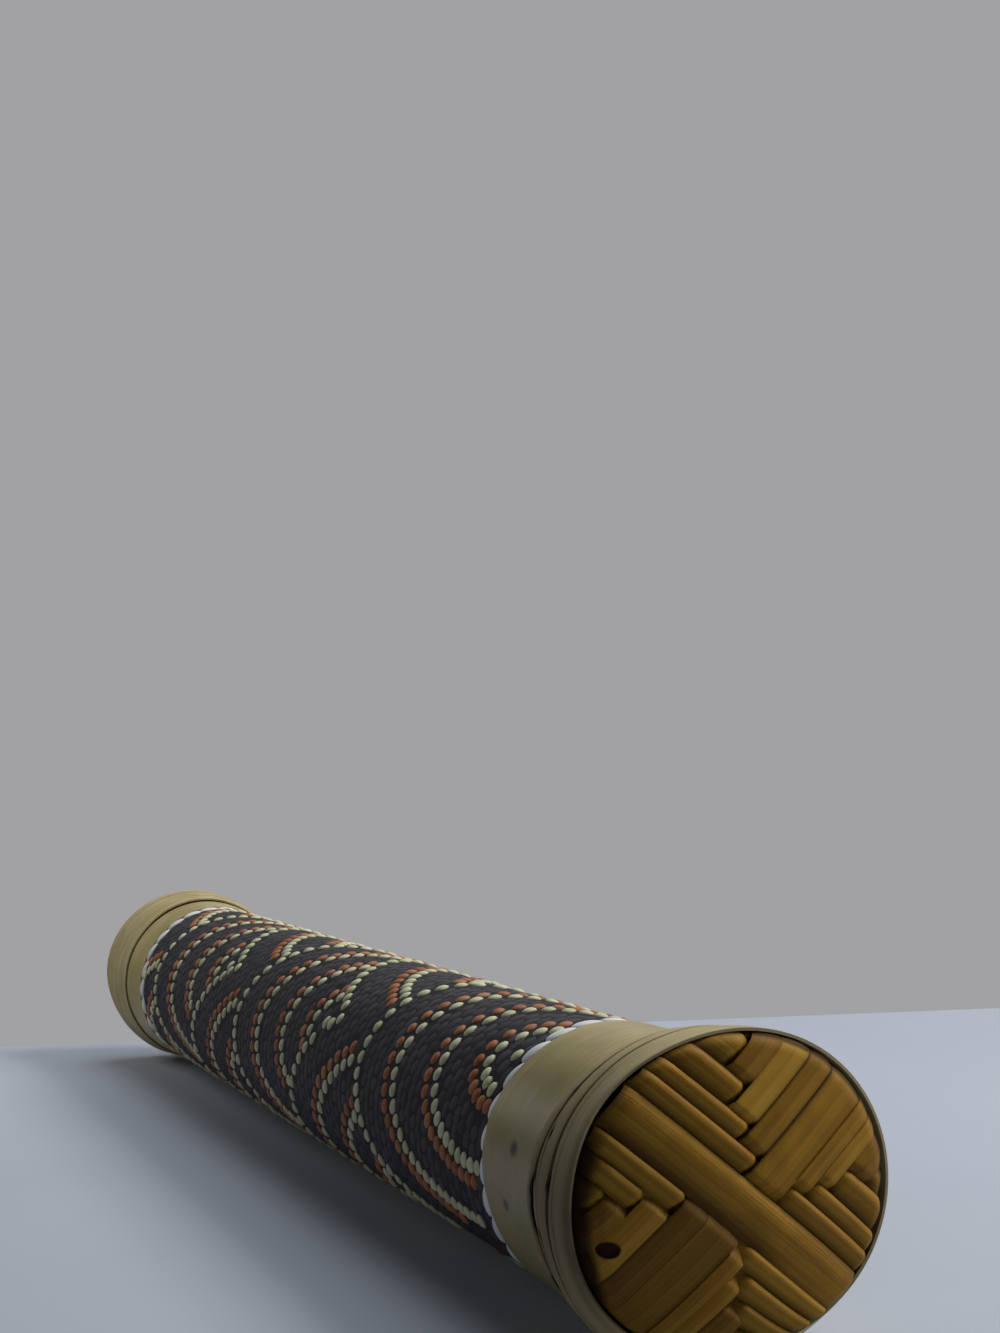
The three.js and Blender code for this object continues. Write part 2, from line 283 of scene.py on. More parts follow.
golden_cane = cane_finish("golden_cane", dark=(0.138, 0.058, 0.003), middle=(0.275, 0.135, 0.006),
                          light=(0.420, 0.242, 0.021), deepest_shade=(0.022, 0.008, 0.001), shine=0.38)
rim_cane = cane_finish("rim_cane", dark=(0.27, 0.200, 0.080), middle=(0.42, 0.345, 0.175),
                       light=(0.56, 0.485, 0.285), deepest_shade=(0.036, 0.026, 0.022), shine=0.34)
black_strip = stitch_finish("black_strip", dark=(0.028, 0.024, 0.030), light=(0.054, 0.048, 0.058),
                            rubbed=(0.085, 0.077, 0.089), shine=0.6)
yellow_strip = stitch_finish("yellow_strip", dark=(0.49, 0.505, 0.29), light=(0.62, 0.61, 0.41),
                             rubbed=(0.67, 0.66, 0.49), shine=0.45)
orange_strip = stitch_finish("orange_strip", dark=(0.28, 0.084, 0.029), light=(0.42, 0.154, 0.060),
                             rubbed=(0.46, 0.245, 0.13), shine=0.4)
white_strip = stitch_finish("white_strip", dark=(0.68, 0.69, 0.68), light=(0.80, 0.81, 0.79),
                            rubbed=(0.84, 0.84, 0.82), shine=0.4)
shadow_strip = stitch_finish("shadow_strip", dark=(0.012, 0.011, 0.012), light=(0.02, 0.018, 0.02),
                             rubbed=(0.03, 0.028, 0.03), shine=0.5)
bamboo = wood_finish("bamboo", (0.30, 0.20, 0.07), (0.50, 0.37, 0.15), (40.0, 700.0, 700.0))
plug_wood = wood_finish("plug_wood", (0.22, 0.12, 0.045), (0.40, 0.25, 0.10), (60.0, 300.0, 300.0))
peg_wood = wood_finish("peg_wood", (0.42, 0.30, 0.12), (0.62, 0.46, 0.21), (700.0, 90.0, 90.0))
pebble_stone = stone_finish("pebble_stone")


# Sets a number on every point of a piece, for its material to read
def set_number(piece, name, values):
    layer = piece.data.attributes.new(name, "FLOAT", "POINT")
    layer.data.foreach_set("value", np.asarray(values, dtype=np.float32))


# A grid bent into shape by place, which turns shares along and across the strip into points and their painted
# shade
def bent_sheet(name, steps_along, steps_across, length, width, place):
    bpy.ops.mesh.primitive_grid_add(x_subdivisions=steps_along, y_subdivisions=steps_across, size=2.0)
    piece = bpy.context.object
    piece.name = name
    mesh = piece.data
    mesh.name = name
    points = np.empty(len(mesh.vertices) * 3)
    mesh.vertices.foreach_get("co", points)
    flat = points.reshape(-1, 3)
    along = (flat[:, 0] + 1.0) / 2.0
    across = (flat[:, 1] + 1.0) / 2.0
    spots, hollow = place(along, across)
    corners = np.empty(len(mesh.loops), dtype=np.int32)
    mesh.loops.foreach_get("vertex_index", corners)
    layer = mesh.uv_layers[0]
    layer.name = "strip"
    strip = np.stack([along[corners] * length, (across[corners] - 0.5) * width], axis=1)
    layer.data.foreach_set("uv", strip.astype(np.float32).ravel())
    mesh.vertices.foreach_set("co", spots.ravel())
    set_number(piece, "hollow", hollow)
    mesh.update()
    return piece


# Edges that bend by less than this are shaded smooth
SMOOTH_BELOW = math.radians(50.0)


# Gives a bent sheet its thickness, inwards from the face that looks outwards, and smooth shading
def thicken(piece, thickness, outwards, closed=False):
    mesh = piece.data
    facing = sum(face.normal.dot(Vector(outwards(face.center))) for face in mesh.polygons)
    bpy.ops.object.mode_set(mode="EDIT")
    bpy.ops.mesh.select_all(action="SELECT")
    if closed:
        bpy.ops.mesh.remove_doubles(threshold=1e-6)
    if facing < 0.0:
        bpy.ops.mesh.flip_normals()
    bpy.ops.object.mode_set(mode="OBJECT")
    bpy.ops.object.modifier_add(type="SOLIDIFY")
    wall = piece.modifiers[-1]
    wall.thickness = thickness
    wall.offset = -1.0
    bpy.ops.object.modifier_apply(modifier=wall.name)
    bpy.ops.object.shade_smooth_by_angle(angle=SMOOTH_BELOW)


# Outward direction round the stick
def from_axis(spot):
    return (0.0, spot.y, spot.z - AXIS_HEIGHT)


# Hands a finished piece to the frame
def hand_over(piece, material, nodes=(), tone=None):
    if tone is not None:
        set_number(piece, "tone", np.full(len(piece.data.vertices), tone))
    piece.data.materials.clear()
    piece.data.materials.append(material)
    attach(piece, "stick")
    if nodes:
        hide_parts(*nodes)
    piece.select_set(False)


# Soft step from 0 at the start to 1 at the end
def smooth(start, end, value):
    share = np.clip((value - start) / (end - start), 0.0, 1.0)
    return share * share * (3.0 - 2.0 * share)


# Painted shade runs from 0, none, to 1 and more, black, and where several layers lie the darkest one shows
def darkest(*layers):
    return np.maximum.reduce(layers)


# Points of an end from distances to the right, up and out of it, seen from outside
def at_end(end, right, up, out):
    side = FACING[end]
    return np.stack([side * (HALF_LENGTH + out), side * right, AXIS_HEIGHT + up], axis=1)


# Points round an end from their radius, their angle from the right, seen from outside, and their depth
def round_end(end, radius, angle, depth):
    return at_end(end, radius * np.cos(angle), radius * np.sin(angle), -depth)


# Difference between two places round the stick, from minus half a turn to half a turn
def round_gap(angle, other):
    return (angle - other + math.pi) % FULL_TURN - math.pi


# A soft bump round the stick, with its place and its spread in degrees
def bump_round(angle, place, spread):
    return np.exp(-(np.degrees(round_gap(angle, math.radians(place))) / spread) ** 2)


# The ends are flatter underneath, their faces are worn in there, and the front is wider on its upper right
SETTLING = 0.018
WEAR = 0.2
WIDENING = {"front": 0.062, "rear": 0.0}
WIDEST = 0.44


def underneath(angle):
    return 0.5 - 0.5 * np.sin(angle)


def settled(angle):
    return 1.0 - SETTLING * underneath(angle) ** 2


def worn(angle):
    return 1.0 - WEAR * underneath(angle) ** 3


def widened(end, angle):
    return WIDENING[end] * np.maximum(0.0, np.cos(angle - WIDEST)) ** 2


# Plaited end: edges between the splints of each set, counted across the set from its lowest splint
EDGES = {
    "a": np.array([-24.5, -17.0, -12.3, -7.9, -3.6, 5.7, 10.2, 14.0, 19.6, 27.0]) * MM,
    "b": np.array([-24.5, -16.5, -10.8, -7.3, -3.5, 4.7, 10.2, 16.2, 21.5, 27.5]) * MM,
}
LEAN = {"a": math.radians(-39.0), "b": math.radians(40.0)}
SPLINTS = 9
MIDDLE_SPLINT = 5
SPLINT_THICKNESS = 0.5 * MM
SHORTEST_HALF = 4.0 * MM
TIP_REACH = 0.9985
BOW_LENGTH = 20.0 * MM

# How much splints differ by chance: roll, bow, lift and tone
ROLL_CHANCE = 0.035
BOW_CHANCE = 0.1 * MM
LIFT_CHANCE = 0.1 * MM
TONES = (0.2, 0.8)

# Drop of a splint under the crossing ones, where it rises outside them, and how much longer the low ones dive
SPLINT_DROP = 1.75 * MM
RISE = (-0.6 * MM, 1.9 * MM)
LOW_DIVE = 2.0 * MM

# Face that the splints lie on: domed, leaning, rolled over at its edge and tucked in on its left
FACE_OUT = 1.5 * MM
FACE_LEAN = 0.055
DOME = 2.8 * MM
SHOULDER_FROM = 30.4 * MM
SHOULDER = 2.6 * MM
FACE_RADIUS = SHOULDER_FROM + SHOULDER
FACE_FIT = {"front": 0.992, "rear": 0.955}
LEFT_TUCK = 1.6 * MM
LEFT_TUCK_FROM = 27.5 * MM

# Dark bed of the plait: depth under the face and distance from its edge, and the painted shade that darkens
# it and the bed under the rim
BED_DEPTH = 3.0 * MM
BED_INSET = 0.8 * MM
BED_SHADE = 1.2

# Ridge of each set's splints: place across, height for its width, most height, fall on its upper side
RIDGES = {"a": (0.42, 0.34, 1.65 * MM, 0.6), "b": (0.0, 0.14, 0.8 * MM, 1.0)}

# Seams that hardly show: set, place in the set, side of the middle, and how deep they still are
FAINT_SEAMS = {("b", 5, -1): 0.02, ("b", 4, -1): 0.4, ("b", 4, 1): 0.12, ("b", 7, 1): 0.4, ("b", 3, 1): 0.5}
USUAL_DEPTHS = (0.75, 1.0)

# Painted shade in the seams, listed in the same way, from unshaded ones to dark open ones
SEAM_SHADE = {
    ("b", 5, -1): 0.0, ("b", 4, 1): 0.05, ("b", 5, 1): 1.0, ("b", 6, 1): 1.0, ("b", 6, -1): 1.0,
    ("b", 2, -1): 0.9, ("b", 3, 1): 0.6, ("a", 4, -1): 0.75, ("a", 4, 1): 0.7, ("a", 5, -1): 0.45,
    ("a", 7, 1): 0.5, ("a", 8, -1): 0.9, ("a", 2, -1): 0.6,
}
USUAL_SEAM_SHADE = (0.22, 0.22)
SEAM_CHANGE = 3.0 * MM

# Painted shade on the lower sides of splints, under crossing ones, on the face's left edge, and low on its
# left
LOW_SIDE_SHADE = {"a": 0.75, "b": 0.2}
MAIN_SIDE_SHADE = 0.92
UNDER_SHADE = 0.55
LEFT_EDGE_SHADE = 1.2
LOW_LEFT_SHADE = 0.4
LOW_LEFT_SPREAD = (-8.0 * MM, 22.0 * MM)

# Along the middle splint of set a, the main one, the ridge and the painted shade on its lower side fade to
# the right
SIDE_FADE = (4.0 * MM, 18.0 * MM)
RIDGE_FADE = 0.45
SIDE_SHADE_FADE = 0.85

# Two splints of set b with a darker lower half, partly a stain and partly painted shade
STAINED_AND_SHADED = (5, 6)
STAIN_AND_SHADE = 0.66
STAIN_AND_SHADE_SPREAD = (-2.0 * MM, 5.0 * MM)

# Tone of the middle splints, and of two lighter ones of set a below them
MIDDLE_TONE = 0.5
LIGHTER = (3, 4)
LIGHTER_TONE = 0.66

# Dark oval hole in one splint: place to the right and up, half sizes, depth, and painted shade inside it
PIERCED = ("front", "b", 7)
HOLE_PLACE = (-27.2 * MM, -4.3 * MM)
HOLE_SIZE = (2.4 * MM, 1.6 * MM)
HOLE_DEPTH = 0.75 * MM
HOLE_SHADE = 1.6


# How far the face lies behind the stick's end, how far it has rolled over, and how far it is tucked in
def face_fall(right, up):
    radius = np.hypot(right, up)
    turn = np.clip((radius - SHOULDER_FROM) / SHOULDER, 0.0, 0.999)
    left = smooth(0.74, 0.98, -right / np.maximum(radius, MM)) * smooth(LEFT_TUCK_FROM, FACE_RADIUS, radius)
    roll = SHOULDER * (1.0 - np.sqrt(1.0 - turn * turn)) + LEFT_TUCK * left
    return roll + DOME * (radius / FACE_RADIUS) ** 2 - FACE_LEAN * right - FACE_OUT, turn, left


# Painted shade of the face by place: on its rolled edge, most on the right, on its tucked left edge, and low
# on its left
def painted_face_shade(right, up, turn, left):
    rightwards = smooth(-0.2, 0.5, right / np.maximum(np.hypot(right, up), MM))
    rolled = smooth(0.85 - 0.4 * rightwards, 1.0 - 0.3 * rightwards, turn)
    tucked = smooth(0.04, 0.85, left) * LEFT_EDGE_SHADE
    low_left = LOW_LEFT_SHADE * smooth(*LOW_LEFT_SPREAD, -right - 0.7 * up)
    return darkest(rolled, tucked, low_left)


# Points of the face, fitted into the rim, drawn in where its lower edge is worn and spread where it is wide
def at_face(end, right, up, out):
    share = (np.hypot(right, up) / FACE_RADIUS) ** 4
    angle = np.arctan2(up, right)
    squeeze = FACE_FIT[end] * (1.0 + (worn(angle) - 1.0 + widened(end, angle)) * share)
    return at_end(end, right * squeeze, up * squeeze, out)


# A number of the seam beside a splint, which may differ on each side of the middle
def seam_number(table, usual, row, seam, far):
    before = table.get((row, seam, -1), usual[0])
    after = table.get((row, seam, 1), usual[1])
    return before + (after - before) * smooth(-SEAM_CHANGE, SEAM_CHANGE, far)


def seam_depth(end, row, seam, far):
    chance = np.random.default_rng(300 + 40 * ENDS.index(end) + 20 * "ab".index(row) + seam)
    return seam_number(FAINT_SEAMS, chance.uniform(*USUAL_DEPTHS, 2), row, seam, far)


# Painted shade in the seam beside a splint
def painted_seam_shade(row, seam, far):
    return seam_number(SEAM_SHADE, USUAL_SEAM_SHADE, row, seam, far)


# Height of a splint: low where it passes under the crossing splints, high outside them
def plait_height(row, place, crossing):
    if row == "a" and place == 0:
        return np.zeros_like(crossing)
    beyond = abs(place)
    if row == "a":
        other, low_under, high_under = EDGES["b"], beyond - 1, beyond - (place > 0)
    else:
        other, low_under, high_under = EDGES["a"], max(beyond - 1, 0), beyond
    low = other[MIDDLE_SPLINT - 1 - low_under] - (LOW_DIVE if place < 0 else 0.0)
    high = other[MIDDLE_SPLINT + high_under]
    outside = np.maximum(crossing - high, low - crossing)
    return -SPLINT_DROP * (1.0 - smooth(*RISE, outside))


# One splint: a point of it lies far along it and aside across it, from the middle of the face
def make_splint(end, row, number):
    chance = np.random.default_rng(1000 + 100 * ENDS.index(end) + 10 * number + "ab".index(row))
    place = number - MIDDLE_SPLINT
    low, high = EDGES[row][number - 1], EDGES[row][number]
    width, middle = high - low, (high + low) / 2.0
    lean, other_lean = LEAN[row], LEAN["b" if row == "a" else "a"]
    peak, steepness, tallest, upper = RIDGES[row]
    crown = min(steepness * width, tallest)
    roll = chance.uniform(-ROLL_CHANCE, ROLL_CHANCE)
    bow = chance.uniform(-BOW_CHANCE, BOW_CHANCE)
    lift = chance.uniform(-LIFT_CHANCE, LIFT_CHANCE)
    tone = chance.uniform(*TONES) if place else MIDDLE_TONE
    if row == "a" and number in LIGHTER:
        tone = LIGHTER_TONE
    main = row == "a" and place == 0
    side_shade = MAIN_SIDE_SHADE if main else LOW_SIDE_SHADE[row]
    pierced = (end, row, number) == PIERCED

    def lay(along, across):
        edge = 2.0 * across - 1.0
        aside = middle + edge * width / 2.0
        half = np.sqrt(np.maximum(FACE_RADIUS ** 2 - aside ** 2, SHORTEST_HALF ** 2))
        far = (2.0 * along - 1.0) * half * TIP_REACH
        lower = edge < peak
        below = (peak - edge) / (1.0 + peak)
        above = (edge - peak) / (1.0 - peak)
        slope = np.where(lower, np.abs(below) ** 1.5, upper * np.abs(above) ** 2.4)
        seam = np.where(lower, seam_depth(end, row, number - 1, far), seam_depth(end, row, number, far))
        dark = np.where(lower, painted_seam_shade(row, number - 1, far), painted_seam_shade(row, number, far))
        faded = smooth(*SIDE_FADE, far) if main else np.zeros_like(far)
        aside = aside + bow * np.cos(far / BOW_LENGTH)
        right = far * math.cos(lean) - aside * math.sin(lean)
        up = far * math.sin(lean) + aside * math.cos(lean)
        crossing = -right * math.sin(other_lean) + up * math.cos(other_lean)
        height = plait_height(row, place, crossing)
        fall, turn, left = face_fall(right, up)
        ridge = -crown * seam * slope * (1.0 - RIDGE_FADE * faded)
        out = height + lift + ridge + roll * edge * width / 2.0 - fall
        # Painted shade of a splint: in its seams, on its lower side, where it dives under crossing splints,
        # and on the face's edges and lower left
        hollow = darkest(
            smooth(0.84, 1.0, np.abs(edge)) * dark,
            smooth(0.2, 1.0, below) * side_shade * (1.0 - SIDE_SHADE_FADE * faded),
            smooth(0.7, 1.0, -height / SPLINT_DROP) * UNDER_SHADE,
            painted_face_shade(right, up, turn, left),
        )
        # Stain and painted shade on the lower half of two splints of set b
        if row == "b" and number in STAINED_AND_SHADED:
            hollow = darkest(hollow, STAIN_AND_SHADE * smooth(*STAIN_AND_SHADE_SPREAD, -far))
        # The hole is sunk in, with painted shade inside it
        if pierced:
            gap = np.hypot((right - HOLE_PLACE[0]) / HOLE_SIZE[0], (up - HOLE_PLACE[1]) / HOLE_SIZE[1])
            out = out - HOLE_DEPTH * (1.0 - smooth(0.75, 1.0, gap))
            hollow = darkest(hollow, HOLE_SHADE * (1.0 - smooth(0.8, 1.15, gap)))
        return at_face(end, right, up, out), hollow

    steps = (220, 28) if pierced else (96, 12)
    piece = bent_sheet(f"{end}_cane_{row}{number}", *steps, 2.0 * FACE_RADIUS, width, lay)
    thicken(piece, SPLINT_THICKNESS, lambda spot: (FACING[end], 0.0, 0.0))
    hand_over(piece, golden_cane, [f"{end}_splint_{row}{number}"], tone=tone)


# Tails under the splints, dark all over with painted shade, which show in the corners between the splints
def make_plait_bed(end):
    def spread(along, across):
        angle = along * FULL_TURN
        radius = across * (FACE_RADIUS - BED_INSET)
        right, up = radius * np.cos(angle), radius * np.sin(angle)
        fall = face_fall(right, up)[0] + BED_DEPTH
        return at_face(end, right, up, -fall), np.full(len(along), BED_SHADE)

    piece = bent_sheet(f"{end}_plait_bed", 72, 12, length=0.2, width=0.033, place=spread)
    thicken(piece, SPLINT_THICKNESS, lambda spot: (FACING[end], 0.0, 0.0), closed=True)
    hand_over(piece, golden_cane, tone=0.2)


for end in ENDS:
    make_plait_bed(end)
    for row in "ab":
        for number in range(1, SPLINTS + 1):
            make_splint(end, row, number)


# Rim: one flat cane wound five times round the end, square to the stick, crossing to its next turn underneath
RIM_TURNS = 5
RIM_START = math.radians(-70.0)
RIM_LEAD = 0.16
RIM_CROSSING = 0.86
RIM_STRIP = 3.8 * MM
RIM_THICKNESS = 0.6 * MM
RIM_OUTER = {"front": 33.9 * MM, "rear": 33.0 * MM}
RIM_INNER = {"front": 31.2 * MM, "rear": 30.5 * MM}
RIM_OVAL = 0.5 * MM
RIM_TUCK = 1.2 * MM
RIM_RIPPLE = 0.08 * MM

# Seams between the turns, as shares of the rim's depth, with the size and the start of their sway
SEAM_SHARES = np.array([0.0, 0.30, 0.47, 0.65, 0.82, 1.0, 1.0])
SEAM_SWAYS = np.array([0.0, 0.7, 0.6, 0.8, 0.6, 0.0, 0.0]) * MM
SWAY_STARTS = np.array([0.0, 4.1, 1.2, 5.3, 2.4, 0.0, 0.0])

# Slits in the seams: seam, place round the end and spread in degrees, width in millimetres
SLITS = {
    "front": [(5, 165, 9, 2.7), (5, 198, 9, 2.2), (5, 116, 20, 0.7), (4, 180, 9, 2.3), (4, 207, 8, 1.4),
              (4, 140, 12, 0.6), (3, 158, 10, 1.0), (3, 194, 9, 1.3), (2, 173, 12, 0.8), (1, 133, 6, 0.5),
              (1, 188, 12, 0.5)],
    "rear": [(5, 90, 120, 0.1), (5, 250, 90, 0.1)],
}
CLOSED_SEAM = {"front": 0.05 * MM, "rear": 0.02 * MM}

# Front edge of the rim, nearest the end on the right, and its back edge, bulging on the left of the front end
RIM_FRONT = 3.0 * MM
RIM_FRONT_LEAN = 1.7 * MM
RIM_DIP = 1.8 * MM
RIM_DIP_PLACE = (140, 24)
RIM_BACK = {"front": 22.4 * MM, "rear": 22.6 * MM}
RIM_BULGE = {"front": 4.5 * MM, "rear": 0.0}
RIM_BULGE_PLACE = (172, 32)

# Lift of each turn, most on the left, rounding of its edges, and painted shade on its edges, over the left,
# on the first turn there and beside slits
LEFT_SIDE = (182, 48)
TURN_LIFTS = np.array([0.0, -0.25, 0.2, -0.15, 0.25]) * MM
EDGE_ROUND = {"front": 0.35 * MM, "rear": 0.05 * MM}
RIM_EDGE_SHADE = {"front": 0.75, "rear": 0.12}
FRONT_EDGE_SHADE = 0.3
RIM_LEFT_SHADE = {"front": 0.72, "rear": 0.1}
RIM_LEFT_SHADE_PLACE = (185, 46)
FIRST_TURN_SHADE = {"front": 0.95, "rear": 0.0}
FIRST_TURN_PLACE = (186, 46)
SLIT_SHADE = 1.25
TORN_WIDTH = (0.3 * MM, 1.2 * MM)


# Depths of the rim's two edges behind the end of the stick
def rim_front(angle):
    return RIM_FRONT - RIM_FRONT_LEAN * np.cos(angle) + RIM_DIP * bump_round(angle, *RIM_DIP_PLACE)


def rim_back(end, angle):
    return RIM_BACK[end] + RIM_BULGE[end] * bump_round(angle, *RIM_BULGE_PLACE)


# Width of a seam between two turns, ragged where a slit has opened
def slit_width(end, seam, angle):
    width = np.full(len(angle), CLOSED_SEAM[end])
    for which, place, spread, extra in SLITS[end]:
        ragged = 1.0 + 0.3 * np.sin(31.0 * angle + 2.0 * which) + 0.2 * np.sin(53.0 * angle + which)
        width = width + (seam == which) * extra * MM * ragged * bump_round(angle, place, spread)
    return np.where(seam == 0, 0.0, width)


# Depth of a seam of the rim, which wanders a little round the end
def rim_seam(end, seam, angle):
    front, back = rim_front(angle), rim_back(end, angle)
    start = SWAY_STARTS[seam]
    wander = np.sin(angle + start) + 0.3 * np.sin(3.0 * angle + 2.0 * start)
    wander = wander + 0.16 * np.sin(11.0 * angle + 3.0 * start)
    return front + (back - front) * SEAM_SHARES[seam] + SEAM_SWAYS[seam] * wander


# How far the strip is tucked in at its start, in two stages, and at its end
def rim_tuck(steps):
    before_first_turn = 1.0 - smooth(-0.1, 0.02, steps)
    very_start = 1.0 - smooth(-RIM_LEAD, 0.04 - RIM_LEAD, steps)
    very_end = smooth(RIM_TURNS - 0.1, RIM_TURNS, steps)
    return np.maximum(0.62 * before_first_turn + 0.38 * very_start, very_end)


# Painted shade of the rim: along the strip's edges, over the left, most on the first turn there, and beside
# slits
def painted_rim_shade(end, which, angle, edge, shows, slits):
    back_edge = (which == RIM_TURNS - 1) & (edge > 0.0)
    front_edge = (which == 0) & (edge < 0.0)
    on_edge = np.where(front_edge, FRONT_EDGE_SHADE, RIM_EDGE_SHADE[end] * np.where(back_edge, 1.0, shows))
    layers = [
        smooth(0.8, 1.0, np.abs(edge)) * on_edge,
        RIM_LEFT_SHADE[end] * bump_round(angle, *RIM_LEFT_SHADE_PLACE),
        FIRST_TURN_SHADE[end] * (which == 0) * smooth(1.1, -0.7, edge) * bump_round(angle, *FIRST_TURN_PLACE),
    ]
    for width, inside in slits:
        beside = 1.0 - smooth(0.15, 0.42, inside / np.maximum(width, 0.01 * MM))
        layers.append(SLIT_SHADE * smooth(*TORN_WIDTH, width) * beside)
    return darkest(*layers)


def make_rim(end):
    chance = np.random.default_rng(50 + ENDS.index(end))
    ripples = chance.uniform(0.0, FULL_TURN, 6)
    outer, inner = RIM_OUTER[end], RIM_INNER[end]

    def wind(along, across):
        steps = along * (RIM_TURNS + RIM_LEAD) - RIM_LEAD
        which = np.clip(np.floor(steps), 0, RIM_TURNS - 1).astype(int)
        part = steps - which
        angle = RIM_START + part * FULL_TURN
        edge = 2.0 * across - 1.0
        crossed = smooth(RIM_CROSSING, 1.0, part) * (which < RIM_TURNS - 1)
        seams = [rim_seam(end, which + step, angle) for step in range(3)]
        front_slit, back_slit = slit_width(end, which, angle), slit_width(end, which + 1, angle)
        ahead = seams[0] + (seams[1] - seams[0]) * crossed + front_slit / 2.0
        behind = seams[1] + (seams[2] - seams[1]) * crossed - back_slit / 2.0
        depth = ahead + (behind - ahead) * across
        front, back = rim_front(angle), rim_back(end, angle)
        share = np.clip((depth - front) / (back - front), 0.0, 1.0)
        shows = 0.25 + 0.75 * bump_round(angle, *LEFT_SIDE)
        radius = outer + RIM_OVAL * np.cos(2.0 * angle) * (1.0 - share) + (inner - outer) * share ** 1.7
        radius = radius - EDGE_ROUND[end] * shows * np.abs(edge) ** 3.0
        radius = radius + shows * TURN_LIFTS[which] + RIM_RIPPLE * np.sin(2.0 * angle + ripples[which])
        shrink = settled(angle) + (worn(angle) - settled(angle)) * (1.0 - share) ** 5
        shrink = shrink + widened(end, angle) * (1.0 - share) ** 1.5
        radius = (radius - RIM_TUCK * rim_tuck(steps)) * shrink
        slits = [(front_slit, depth - ahead), (back_slit, behind - depth)]
        hollow = painted_rim_shade(end, which, angle, edge, shows, slits)
        return round_end(end, radius, angle, depth), hollow

    length = (RIM_TURNS + RIM_LEAD) * FULL_TURN * outer
    piece = bent_sheet(f"{end}_rim", 600, 10, length, RIM_STRIP, wind)
    thicken(piece, RIM_THICKNESS, from_axis)
    hand_over(piece, rim_cane, [f"{end}_binding"], tone=0.5)


# Depth of the collar's edge at the sleeve, which bulges on the left of the front end
COLLAR_PAST = {"front": 0.0, "rear": 2.6 * MM}
COLLAR_BULGE = {"front": 3.2 * MM, "rear": 0.0}
COLLAR_BULGE_PLACE = (163, 34)


def collar_back(end, angle):
    edge = COLLAR_FROM + COLLAR_LENGTH[end] + COLLAR_PAST[end]
    return edge + COLLAR_BULGE[end] * bump_round(angle, *COLLAR_BULGE_PLACE)


# Bed of folded tails under the rim and the collar, dark all over with painted shade, which shows in the slits
RIM_BED_RADIUS = 32.2 * MM
RIM_BED_TAPER = 2.9 * MM
RIM_BED_TAPER_LENGTH = 18.0 * MM
RIM_BED_DROP = 1.5 * MM
RIM_BED_THICKNESS = 0.8 * MM
RIM_BED_INSET = (2.5 * MM, 1.0 * MM)


def make_rim_bed(end):
    def wrap(along, across):
        angle = along * FULL_TURN
        front = rim_front(angle) + RIM_BED_INSET[0]
        back = collar_back(end, angle) - RIM_BED_INSET[1]
        depth = front + across * (back - front)
        radius = RIM_BED_RADIUS - RIM_BED_TAPER * np.minimum((depth - front) / RIM_BED_TAPER_LENGTH, 1.0)
        radius = radius - RIM_BED_DROP * smooth(COLLAR_FROM, back, depth)
        shrink = settled(angle) + (worn(angle) - settled(angle)) * (1.0 - across) ** 6
        return round_end(end, radius * shrink, angle, depth), np.full(len(along), BED_SHADE)

    piece = bent_sheet(f"{end}_rim_bed", 96, 16, length=0.195, width=0.022, place=wrap)
    thicken(piece, RIM_BED_THICKNESS, from_axis, closed=True)
    hand_over(piece, rim_cane, [f"{end}_tail_band"], tone=0.3)


# Collar: one smooth sheet of cane skin wrapped round the tails, its end lapped over its start underneath
COLLAR_LAP = math.radians(16.0)
COLLAR_LAP_STEP = 0.75 * MM
COLLAR_RADIUS = 29.7 * MM
COLLAR_TAPER = 0.7 * MM
COLLAR_THICKNESS = 0.6 * MM
COLLAR_UNDER_RIM = 0.7 * MM
COLLAR_WAVE = 0.12 * MM
COLLAR_FRONT_ROUND = 0.3 * MM
COLLAR_BACK_ROUND = 0.2 * MM
# Painted shade over the left of each collar, and where it lies round the stick
COLLAR_LEFT_SHADE = {"front": 0.42, "rear": 0.1}
COLLAR_LEFT_SHADE_PLACE = (205, 60)

# Dark spots on the front collar: place and size
COLLAR_SPOTS = [((0.1620, -0.0287, 0.0389), 2.2 * MM), ((0.1590, -0.0291, 0.0270), 1.8 * MM)]


def make_collar(end, material):
    def wrap(along, across):
        angle = -math.pi / 2.0 - COLLAR_LAP + along * (FULL_TURN + COLLAR_LAP)
        slit = slit_width(end, RIM_TURNS, angle)
        drawn_back = 0.55 * slit
        covered = np.maximum(COLLAR_UNDER_RIM - drawn_back, 0.0)
        start = rim_back(end, angle) - COLLAR_UNDER_RIM + drawn_back
        reach = collar_back(end, angle) - start
        depth = start + across * reach
        lapped = 1.0 - smooth(0.04, 0.14, along)
        radius = COLLAR_RADIUS - COLLAR_TAPER * across ** 0.9 - COLLAR_LAP_STEP * lapped
        radius = radius + COLLAR_WAVE * np.sin(3.0 * angle + 1.0) * (1.0 - across)
        radius = radius - COLLAR_BACK_ROUND * smooth(0.94, 1.0, across)
        radius = radius - COLLAR_FRONT_ROUND * (1.0 - smooth(0.0, 0.06, across))
        # Painted shade: at the back edge, just behind the rim where it overhangs and in its slits, and over
        # the left
        hollow = darkest(
            smooth(0.97, 1.0, across) * 0.4,
            1.0 - smooth(0.0, 1.0, (across * reach - covered) / (0.4 * MM + 0.9 * slit)),
            COLLAR_LEFT_SHADE[end] * bump_round(angle, *COLLAR_LEFT_SHADE_PLACE),
        )
        return round_end(end, radius, angle, depth), hollow

    piece = bent_sheet(f"{end}_collar_skin", 160, 24, length=0.19, width=COLLAR_LENGTH[end], place=wrap)
    thicken(piece, COLLAR_THICKNESS, from_axis)
    hand_over(piece, material, [f"{end}_collar"])


collar_skin = collar_finish("collar_skin", COLLAR_SPOTS)
for end in ENDS:
    make_rim(end)
    make_rim_bed(end)
    make_collar(end, collar_skin)


